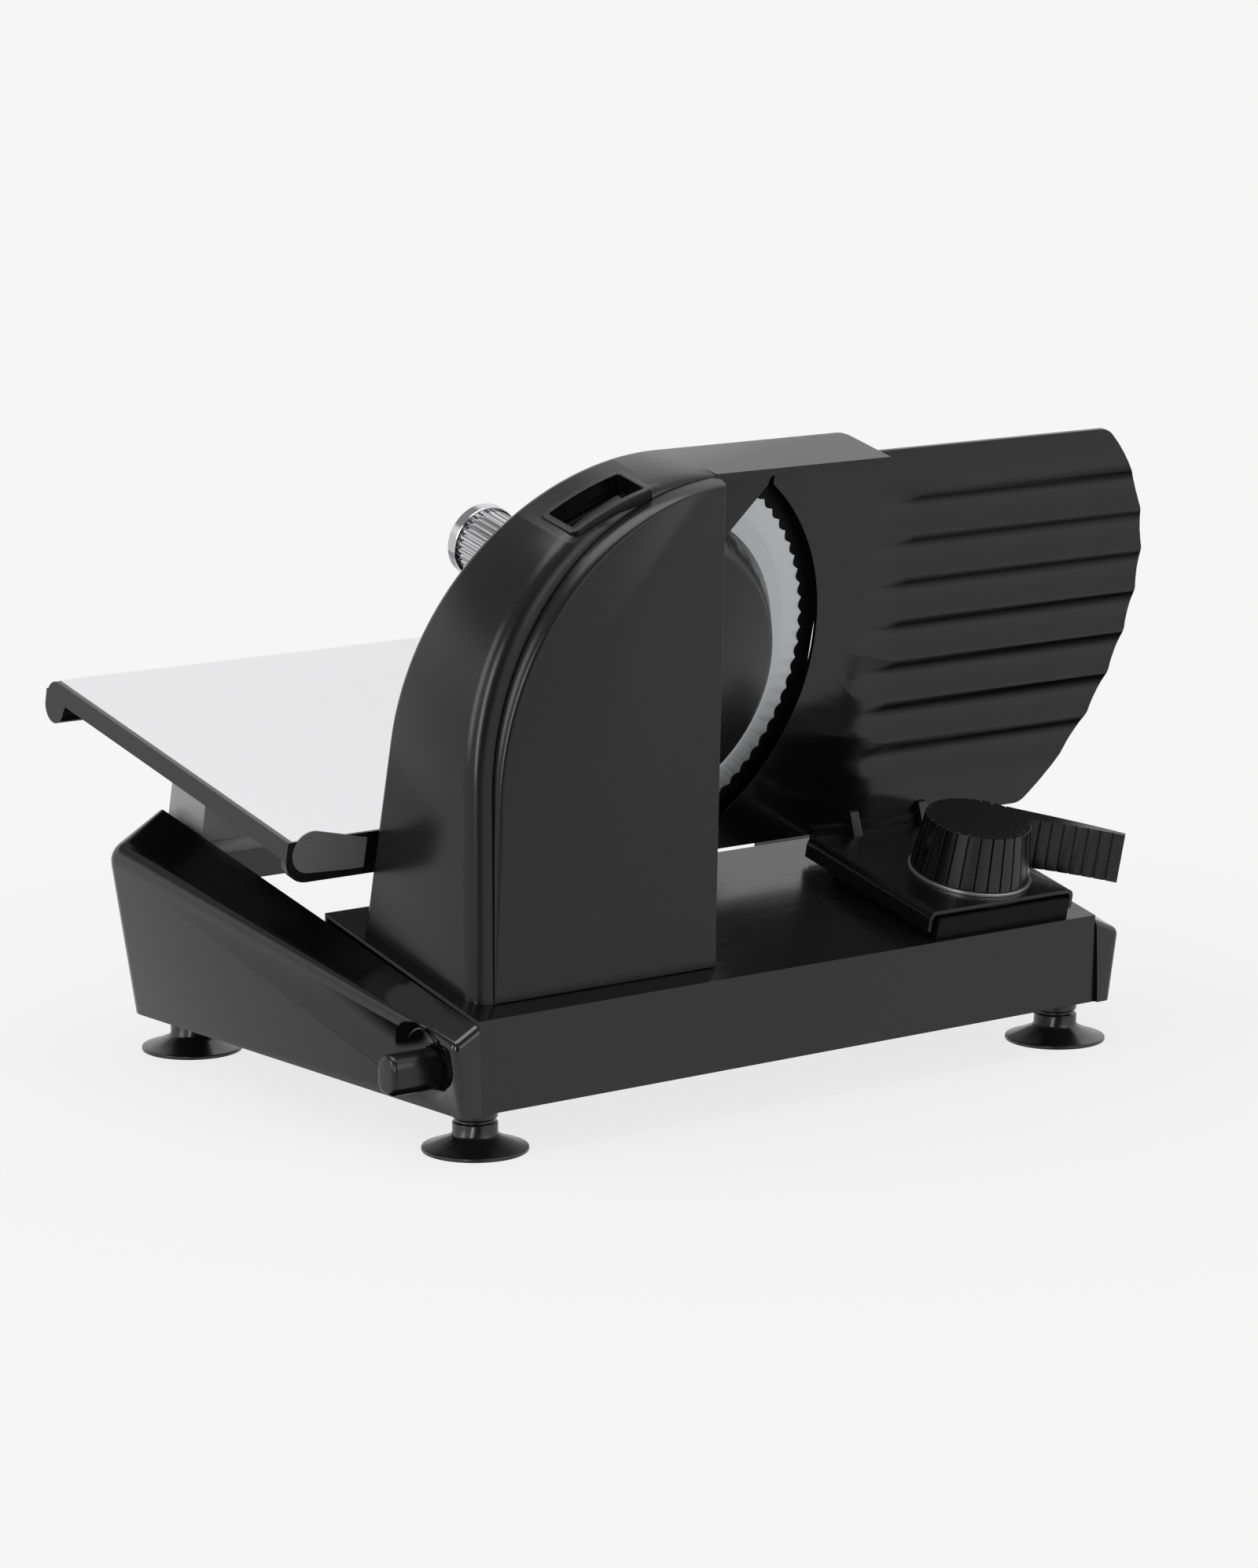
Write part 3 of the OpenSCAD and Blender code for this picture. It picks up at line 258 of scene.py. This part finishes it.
# %% Ground steel with marks round the blade's axis
RINGS_PER_METRE, RING_DETAIL = 2600, 2
blade_joint = joint_of["blade_spin"]
blade_axis = Vector(blade_joint["axis"]).normalized()
blade_mid = Vector(blade_joint["pos_m"])
ground_steel = bpy.data.materials.new("ground_steel")
ground_steel.use_nodes = True
gt = ground_steel.node_tree
gt.nodes["Principled BSDF"].inputs["Metallic"].default_value = 0.85
from_axis = gt.nodes.new("ShaderNodeVectorMath")
from_axis.operation = "DISTANCE"
from_axis.inputs[1].default_value = blade_mid
gt.links.new(gt.nodes.new("ShaderNodeTexCoord").outputs["Object"], from_axis.inputs[0])
rings = gt.nodes.new("ShaderNodeTexNoise")
rings.noise_dimensions = "1D"
rings.inputs["Scale"].default_value = RINGS_PER_METRE
rings.inputs["Detail"].default_value = RING_DETAIL
gt.links.new(from_axis.outputs["Value"], rings.inputs["W"])
dress(ground_steel, rings.outputs["Fac"], (0.56, 0.565, 0.575), rough=0.40, rough_vary=0.06,
      bump=0.05, color_vary=0.03)
print("blade axis", [round(v, 4) for v in blade_axis])

# %% [markdown]
# ## Putting a finished mesh in the scene
# Each piece ends the same way. Its faces are shaded smooth wherever they meet at less than the
# crease angle. A Bevel, mostly of a few tenths of a millimetre, rounds the sharper edges. The piece
# then stands for its solid, rides on its body and takes its slot. A bevel could be cut into the
# mesh instead, but as a modifier it keeps the faces simple and its width easy to change.

# %% Place one piece
CREASE = 32
BEVEL_ABOVE_CREASE = 6
BEVEL_SEGMENTS = 2

def place(mesh, name, material, node, bevel=0.0, crease=CREASE):
    mesh.materials.clear()
    mesh.materials.append(material)
    mesh.shade_smooth()
    mesh.set_sharp_from_angle(angle=radians(crease))
    piece = bpy.data.objects.new(name, mesh)
    bpy.context.scene.collection.objects.link(piece)
    if bevel:
        edge = piece.modifiers.new("edge", "BEVEL")
        edge.width = bevel * MM
        edge.segments = BEVEL_SEGMENTS
        edge.limit_method = "ANGLE"
        edge.angle_limit = radians(crease + BEVEL_ABOVE_CREASE)
        edge.use_clamp_overlap = True
        edge.harden_normals = True
    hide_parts(node)
    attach(piece, body_of_node[node])

print("creases above", CREASE, "degrees stay sharp")

# %% [markdown]
# ## Softening the machined solids
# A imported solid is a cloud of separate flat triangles, so a curved face shows its facets and
# every edge is razor sharp, which no pressed or moulded part is. The cure is a copy: its corners
# are merged, its flat faces are joined again, and it is placed with smooth shading and a bevel.

# %% Copy a solid, join its faces and round its edges
SAME_POINT = 3e-6
FLAT_WITHIN = 0.6

def softened(node, material, bevel, crease=CREASE):
    bm = bmesh.new()
    bm.from_mesh(nodes[node].data)
    bmesh.ops.remove_doubles(bm, verts=bm.verts[:], dist=SAME_POINT)
    bmesh.ops.dissolve_limit(bm, angle_limit=radians(FLAT_WITHIN), use_dissolve_boundaries=False,
                             verts=bm.verts[:], edges=bm.edges[:])
    mesh = bpy.data.meshes.new("soft_" + node)
    bm.to_mesh(mesh)
    bm.free()
    place(mesh, "soft_" + node, material, node, bevel, crease)

def soften_all(title, wanted):
    for node, material, bevel in wanted:
        softened(node, material, bevel)
    print(title, len(wanted))

print("faces within", FLAT_WITHIN, "degrees are joined")

# %% [markdown]
# ## The base
# A sheet bent into a channel carries everything. Its bends have a radius of about a millimetre,
# and the two end caps are polished mouldings. Each of the four feet is a rubber suction cup on a
# threaded stud. The number after each finish is the width of its bevel in millimetres.

# %% Base, caps and feet
soften_all("base", [
    ("base_channel", brushed_black, 0.8), ("bottom_plate", plated_steel, 0.2),
    ("left_end_cap", polished_cap, 0.5), ("right_end_cap", polished_cap, 0.5),
    ("carriage_rail", polished_cap, 0.6), ("foot_cups", foot_rubber, 0.4),
    ("foot_studs", plated_steel, 0.2), ("base_screws", plated_steel, 0.3),
    ("cord_gland", matt_moulding, 0.4), ("micro_switch", red_moulding, 0.3)])

# %% [markdown]
# ## The button on the end cap
# The button has a round top, a flatter underside and a well rounded end that a finger meets. Its
# solid is a plain rounded bar, so this piece is made anew. A circle is pulled into the outline,
# its face is extruded along the button's travel, and later the outer rim gets a wide bevel.

# %% One length of the button
BUTTON_SIDES = 64
TOP_RADIUS, TOP_RISE = 7, 2
LOW_RADIUS, LOW_SPREAD, LOW_DROP = 5.5, 1.5, -3.5
button_low, button_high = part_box("safety_button")
button_mid = (button_low + button_high) / 2

def button_length(bm, start, end, grow):
    ring = bmesh.ops.create_circle(bm, cap_ends=True, segments=BUTTON_SIDES, radius=1)["verts"]
    for vert in ring:
        across, rise = vert.co.x, vert.co.y
        if rise >= 0:
            y = (TOP_RADIUS + grow) * across
            z = TOP_RISE + (TOP_RADIUS + grow) * rise
        else:
            y = copysign(LOW_SPREAD, across) + (LOW_RADIUS + grow) * across
            z = LOW_DROP + (LOW_RADIUS + grow) * rise
        vert.co = (start, button_mid.y + y * MM, button_mid.z + z * MM)
    moved = bmesh.ops.extrude_face_region(bm, geom=[ring[0].link_faces[0]])["geom"]
    bmesh.ops.translate(bm, vec=(end - start, 0, 0),
                        verts=[v for v in moved if isinstance(v, bmesh.types.BMVert)])

print("button middle", [round(v, 4) for v in button_mid])

# %% [markdown]
# The button has three lengths: the bar that a finger pushes, a collar inside the cap that keeps it
# from falling out, and a thin stem that reaches the switch.

# %% Make the domed button
STEM_RADIUS, STEM_LENGTH, STEM_SIDES = 3 * MM, 8 * MM, 32
COLLAR_LENGTH, COLLAR_GROW = 2.2 * MM, 2.9
RIM_BEVEL, RIM_SEGMENTS = 2.8 * MM, 6
wall = button_high.x - STEM_LENGTH
bm = bmesh.new()
button_length(bm, button_low.x, wall, 0)
outer_rim = [e for e in bm.edges if max(v.co.x for v in e.verts) < button_low.x + 1e-6]
bmesh.ops.bevel(bm, geom=outer_rim, offset=RIM_BEVEL, offset_type="OFFSET",
                segments=RIM_SEGMENTS, profile=0.5, affect="EDGES", material=-1)
button_length(bm, wall - COLLAR_LENGTH, wall, COLLAR_GROW)
stem = Matrix.Translation(((wall + button_high.x) / 2, button_mid.y, button_mid.z))
bmesh.ops.create_cone(bm, cap_ends=True, segments=STEM_SIDES, radius1=STEM_RADIUS,
                      radius2=STEM_RADIUS, depth=STEM_LENGTH,
                      matrix=stem @ Matrix.Rotation(pi / 2, 4, "Y"))
bmesh.ops.recalc_face_normals(bm, faces=bm.faces[:])
button_mesh = bpy.data.meshes.new("domed_button")
bm.to_mesh(button_mesh)
bm.free()
place(button_mesh, "domed_button", matt_moulding, "safety_button", crease=40)
print("button faces", len(button_mesh.polygons))

# %% [markdown]
# ## The housing and its switch
# The arch is one die-cast shell with a satin lacquer, closed in front by a cover with a rolled
# edge. Both get a wider bevel than the rest, because the long highlight round the arch is what
# makes it look cast. The switch sits in a frame near the top.

# %% Housing, cover and switch
soften_all("housing", [
    ("housing_shell", housing_lacquer, 1.0), ("front_cover", housing_lacquer, 1.2),
    ("switch_bezel", deep_moulding, 0.6), ("switch_body", deep_moulding, 0.2),
    ("rocker", grey_moulding, 0.5)])

# %% [markdown]
# ## The drive
# Hidden in the housing, but each piece is there and turns with its neighbours: motor, pinion,
# idler, toothed wheel and shaft. They are seen when the housing is taken off in another scene.

# %% Motor, gears and shaft
soften_all("drive", [
    ("motor_plate", plated_steel, 0.2), ("motor_can", plated_steel, 0.4),
    ("motor_rotor", lacquered_copper, 0.4), ("motor_shaft", plated_steel, 0.1),
    ("idler_pin", plated_steel, 0.2), ("idler_gear", natural_nylon, 0.1),
    ("shaft_bushes", turned_brass, 0.1), ("blade_shaft", plated_steel, 0.2),
    ("drive_wheel", natural_nylon, 0.1), ("blade_lock_cap", deep_moulding, 0.5)])

# %% [markdown]
# ## The blade
# The blade is a disc with a long ground slope towards its edge and a scallop between every two
# teeth. The solid has both, but its slope is cut into long thin triangles that shade unevenly.
# Spinning a profile round the axis gives clean rings instead. Each pair below is a radius and a
# depth towards the front, and the steps of the spin fall evenly on the teeth.

# %% Spin the blade's profile
BLADE_TEETH = 80
STEPS_PER_TOOTH = 6
THICK, HUB_RADIUS = 1.6 * MM, 6.2 * MM
GROUND_WIDTH, BACK_SLOPE, EDGE_SLOPE = 12 * MM, 4 * MM, 2.5 * MM
rim = (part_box("blade")[1].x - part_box("blade")[0].x) / 2
ground = rim - GROUND_WIDTH
profile = [(HUB_RADIUS, 0), (ground + BACK_SLOPE, 0), (rim, 0.1 * MM), (rim, 0.25 * MM),
           (rim - EDGE_SLOPE, 0.62 * MM), (ground, THICK), (ground - 0.6 * MM, THICK),
           (HUB_RADIUS, THICK)]
bm = bmesh.new()
outline = [bm.verts.new((r, -depth, 0)) for r, depth in profile]
edges = [bm.edges.new(pair) for pair in zip(outline, outline[1:] + outline[:1])]
bmesh.ops.spin(bm, geom=outline + edges, cent=(0, 0, 0), axis=(0, 1, 0), angle=2 * pi,
               steps=BLADE_TEETH * STEPS_PER_TOOTH, use_merge=True, use_normal_flip=False)
bmesh.ops.remove_doubles(bm, verts=bm.verts[:], dist=1e-6)
print("ring corners", len(bm.verts), "radius mm", round(rim / MM, 1))

# %% [markdown]
# The corners on the rim are then drawn in between the teeth, which leaves pointed tips and round
# scallops, and the slope behind them follows. Last, the disc is leaned and moved to its axis.

# %% Cut the teeth and place the blade
BITE_DEPTH, BITE_ROUND = 1.9 * MM, 1.6
RIM_BAND = 0.1 * MM
for vert in bm.verts:
    reach = Vector((vert.co.x, vert.co.z)).length
    if reach > rim - RIM_BAND:
        around = atan2(vert.co.z, vert.co.x) * BLADE_TEETH / (2 * pi) % 1.0
        drawn_in = BITE_DEPTH * (1 - abs(2 * around - 1) ** BITE_ROUND)
        vert.co.x *= (reach - drawn_in) / reach
        vert.co.z *= (reach - drawn_in) / reach
bmesh.ops.recalc_face_normals(bm, faces=bm.faces[:])
lean = Matrix.Rotation(atan2(blade_axis.z, blade_axis.y), 4, "X")
bm.transform(Matrix.Translation(blade_mid) @ lean)
blade_mesh = bpy.data.meshes.new("toothed_blade")
bm.to_mesh(blade_mesh)
bm.free()
place(blade_mesh, "toothed_blade", ground_steel, "blade", crease=14)
print("blade faces", len(blade_mesh.polygons))

# %% [markdown]
# ## The thickness control
# The guide plate is a thin sheet with long ribs pressed into it. Its solid already has their round
# shape, so shading them smooth is enough, with a wider crease angle than elsewhere so that the
# lines where ribs meet disappear. The knob keeps its crisp grooves.

# %% Guide plate, cover and knob
softened("guide_plate", plate_black, 0.3, crease=48)
soften_all("thickness control", [
    ("adjuster_rail", shaded_moulding, 0.4), ("sliding_cover", matt_moulding, 0.6),
    ("plate_screws", plated_steel, 0.1), ("scale_ring", silver_satin, 0.3),
    ("thickness_knob", matt_moulding, 0.3), ("spiral_cam", natural_nylon, 0.1),
    ("knob_screw", plated_steel, 0.1)])

# %% [markdown]
# ## The carriage
# A brushed steel top lies in a black frame. The pusher rides on a steel rod, and its knob is
# chromed, with flutes that mirror the dark parts of the room and the pale ones in turn.

# %% Table, guard and pusher
soften_all("carriage", [
    ("table_top", table_steel, 0.2), ("table_frame", deep_moulding, 0.5),
    ("skirt_plate", grey_satin, 0.1), ("runner_block", cast_grey, 0.5),
    ("glide_foot", natural_nylon, 0.4), ("fence", shaded_moulding, 0.5),
    ("rod_brackets", matt_moulding, 0.5), ("pusher_rod", table_steel, 0.3),
    ("pusher_slider", matt_moulding, 0.6), ("pusher_plate", shaded_moulding, 0.5),
    ("pusher_spikes", plated_steel, 0.0), ("pusher_knob", chrome, 0.15),
    ("knob_collar", chrome, 0.8)])

# %% [markdown]
# ## The floor
# The machine stands on a plain pale sheet with no horizon. Such a sheet could be modelled as a
# curved backdrop. A flat disc is simpler. Its edge never shows as a line, because the floor has
# faded to the grey of the room long before it.

# %% Lay the floor
FLOOR_RADIUS, FLOOR_SIDES = 3.0, 96
floor_bm = bmesh.new()
bmesh.ops.create_circle(floor_bm, cap_ends=True, cap_tris=False, segments=FLOOR_SIDES,
                        radius=FLOOR_RADIUS)
floor_mesh = bpy.data.meshes.new("floor")
floor_bm.to_mesh(floor_mesh)
floor_bm.free()
floor = bpy.data.objects.new("floor", floor_mesh)
bpy.context.scene.collection.objects.link(floor)
print("floor radius", FLOOR_RADIUS)

# %% [markdown]
# ## Three short helpers for floor and room
# Both the floor and the room ask what kind of ray has met them and fade softly from one level to
# another. Wiring that by hand takes many lines, so three helpers do it: arithmetic on two values,
# a soft step between two levels, and a choice between two shaders.

# %% Arithmetic, soft steps and choices
def combine(tree, operation, *sources):
    result = tree.nodes.new("ShaderNodeMath")
    result.operation = operation
    for socket, source in zip(result.inputs, sources):
        tree.links.new(source, socket)
    return result.outputs["Value"]

def fade(tree, value, start, end, low, high):
    ramp = tree.nodes.new("ShaderNodeMapRange")
    ramp.interpolation_type = "SMOOTHSTEP"
    for name, level in zip(("From Min", "From Max", "To Min", "To Max"), (start, end, low, high)):
        ramp.inputs[name].default_value = level
    tree.links.new(value, ramp.inputs["Value"])
    return ramp.outputs["Result"]

def choose(tree, factor, otherwise, chosen):
    pick = tree.nodes.new("ShaderNodeMixShader")
    tree.links.new(factor, pick.inputs[0])
    tree.links.new(otherwise, pick.inputs[1])
    tree.links.new(chosen, pick.inputs[2])
    return pick.outputs["Shader"]

PALE = (0.922, 0.922, 0.922, 1)
print("pale grey of the picture", PALE[0])

# %% [markdown]
# ## Painting the floor
# The floor shows the camera its own pale grey, and lets a little of its real shading through near
# the machine, so the shadow stays. It could show mirror-like surfaces the same grey, but then
# every black face would mirror one flat tone. So it is see-through to them, and what they see
# instead is the room, which is darker straight below.

# %% Paint the floor
SHADE_START, SHADE_END, LEAST_GLOW = 0.15, 0.60, 0.84
floor_mat = bpy.data.materials.new("floor_pale")
floor_mat.use_nodes = True
ft = floor_mat.node_tree
paper = ft.nodes["Principled BSDF"]
paper.inputs["Base Color"].default_value = (0.80, 0.80, 0.80, 1)
paper.inputs["Roughness"].default_value = 0.9
paper.inputs["Specular IOR Level"].default_value = 0.1
glow = ft.nodes.new("ShaderNodeEmission")
glow.inputs["Color"].default_value = PALE
clear = ft.nodes.new("ShaderNodeBsdfTransparent")
spot = ft.nodes.new("ShaderNodeVectorMath")
spot.operation = "LENGTH"
ft.links.new(ft.nodes.new("ShaderNodeTexCoord").outputs["Object"], spot.inputs[0])
glow_share = fade(ft, spot.outputs["Value"], SHADE_START, SHADE_END, LEAST_GLOW, 1.0)
ray = ft.nodes.new("ShaderNodeLightPath").outputs
in_view = combine(ft, "MAXIMUM", ray["Is Camera Ray"], ray["Is Transmission Ray"])
plain = combine(ft, "MULTIPLY", in_view, glow_share)
sheet = choose(ft, plain, paper.outputs["BSDF"], glow.outputs["Emission"])
sheet = choose(ft, ray["Is Glossy Ray"], sheet, clear.outputs["BSDF"])
ft.links.new(sheet, ft.nodes["Material Output"].inputs["Surface"])
floor_mesh.materials.append(floor_mat)
print("floor shading fades out by", SHADE_END, "m")

# %% [markdown]
# ## The room
# The room is one pale grey, seen plainly by the camera. Its soft light on the machine is half as
# strong, because the lamps do the rest. What mirrors see has a studio's structure: dark straight
# below, a little brighter above the horizon, dimmer high on the left, and dark behind the place
# that the picture is taken from. These levels belong to the room and don't move with the camera.
# Without them the ribs of the plate and the flutes of the knob would mirror one even grey.
#
# Each four numbers say where a soft step starts and ends, and the levels before and after it.

# %% Levels that mirrors see
DARK_BELOW = (-0.68, -0.53, 0.0, 0.88)
BRIGHT_ABOVE = (0.10, 0.35, 1.0, 1.3)
HIGH_UP = (0.36, 0.60, 0.0, 1.0)
TO_THE_LEFT = (0.10, 0.45, 1.0, 0.0)
DIM_HIGH_LEFT = (0.0, 1.0, 1.0, 0.30)
DARK_BEHIND_VIEWER = (0.80, 0.96, 1.0, 0.06)
scene = bpy.context.scene
scene.view_settings.view_transform = "Standard"
world = bpy.data.worlds.new("studio")
scene.world = world
world.use_nodes = True
wt = world.node_tree
direction = wt.nodes.new("ShaderNodeTexCoord").outputs["Generated"]
toward = wt.nodes.new("ShaderNodeSeparateXYZ")
wt.links.new(direction, toward.inputs[0])
height, across = toward.outputs["Z"], toward.outputs["X"]
below = fade(wt, height, *DARK_BELOW)
above = fade(wt, height, *BRIGHT_ABOVE)
upper_left = combine(wt, "MULTIPLY", fade(wt, height, *HIGH_UP), fade(wt, across, *TO_THE_LEFT))
dimmer = fade(wt, upper_left, *DIM_HIGH_LEFT)
apart = wt.nodes.new("ShaderNodeVectorMath")
apart.operation = "DOT_PRODUCT"
apart.inputs[1].default_value = back
wt.links.new(direction, apart.inputs[0])
dark_end = fade(wt, apart.outputs["Value"], *DARK_BEHIND_VIEWER)
mirror_level = combine(wt, "MULTIPLY", below, above)
mirror_level = combine(wt, "MULTIPLY", mirror_level, dimmer)
mirror_level = combine(wt, "MULTIPLY", mirror_level, dark_end)
print("levels of the room", len(wt.nodes), "nodes")

# %% [markdown]
# Three backgrounds then share the one grey, and the kind of ray picks between them: soft light for
# matt surfaces, the levels above for mirrors, and the plain grey for the camera.

# %% Light the room
SOFT_LIGHT = 0.5

def pale_background(shade, strength=1.0):
    shade.inputs["Color"].default_value = PALE
    shade.inputs["Strength"].default_value = strength
    return shade

calm = pale_background(wt.nodes["Background"], SOFT_LIGHT)
bright = pale_background(wt.nodes.new("ShaderNodeBackground"))
mirrored = pale_background(wt.nodes.new("ShaderNodeBackground"))
wt.links.new(mirror_level, mirrored.inputs["Strength"])
ray = wt.nodes.new("ShaderNodeLightPath").outputs
direct = combine(wt, "MAXIMUM", ray["Is Camera Ray"], ray["Is Transmission Ray"])
indirect = choose(wt, ray["Is Glossy Ray"], calm.outputs["Background"],
                  mirrored.outputs["Background"])
seen = choose(wt, direct, indirect, bright.outputs["Background"])
wt.links.new(seen, wt.nodes["World Output"].inputs["Surface"])
print("room level", PALE[0], "soft light", SOFT_LIGHT)

# %% [markdown]
# ## Lamps
# Four soft lamps stand round the machine, because a small one would leave a hard spot on every
# polished face. The strongest hangs overhead, two broad banks fill the left and the front, and a
# tall narrow strip at the front left draws the long highlights along the arch and its cover.

# %% Hang the soft lamps
AIM = Vector((0, 0, 0.12))

def soft_lamp(name, size, power, where):
    data = bpy.data.lights.new(name, "AREA")
    data.shape = "RECTANGLE"
    data.size, data.size_y = size
    data.energy = power
    lamp = bpy.data.objects.new(name, data)
    scene.collection.objects.link(lamp)
    lamp.location = where
    lamp.rotation_euler = (AIM - Vector(where)).to_track_quat("-Z", "Y").to_euler()

soft_lamp("overhead", (1.2, 1.2), 15, (-0.2, 0.1, 1.9))
soft_lamp("left_bank", (0.7, 1.4), 9, (-2.0, 0.2, 0.9))
soft_lamp("front_bank", (1.4, 1.0), 5, (0.5, -2.2, 1.2))
soft_lamp("edge_strip", (0.35, 1.5), 13, (-1.9, -1.4, 0.6))
print("lamps", len(bpy.data.lights))
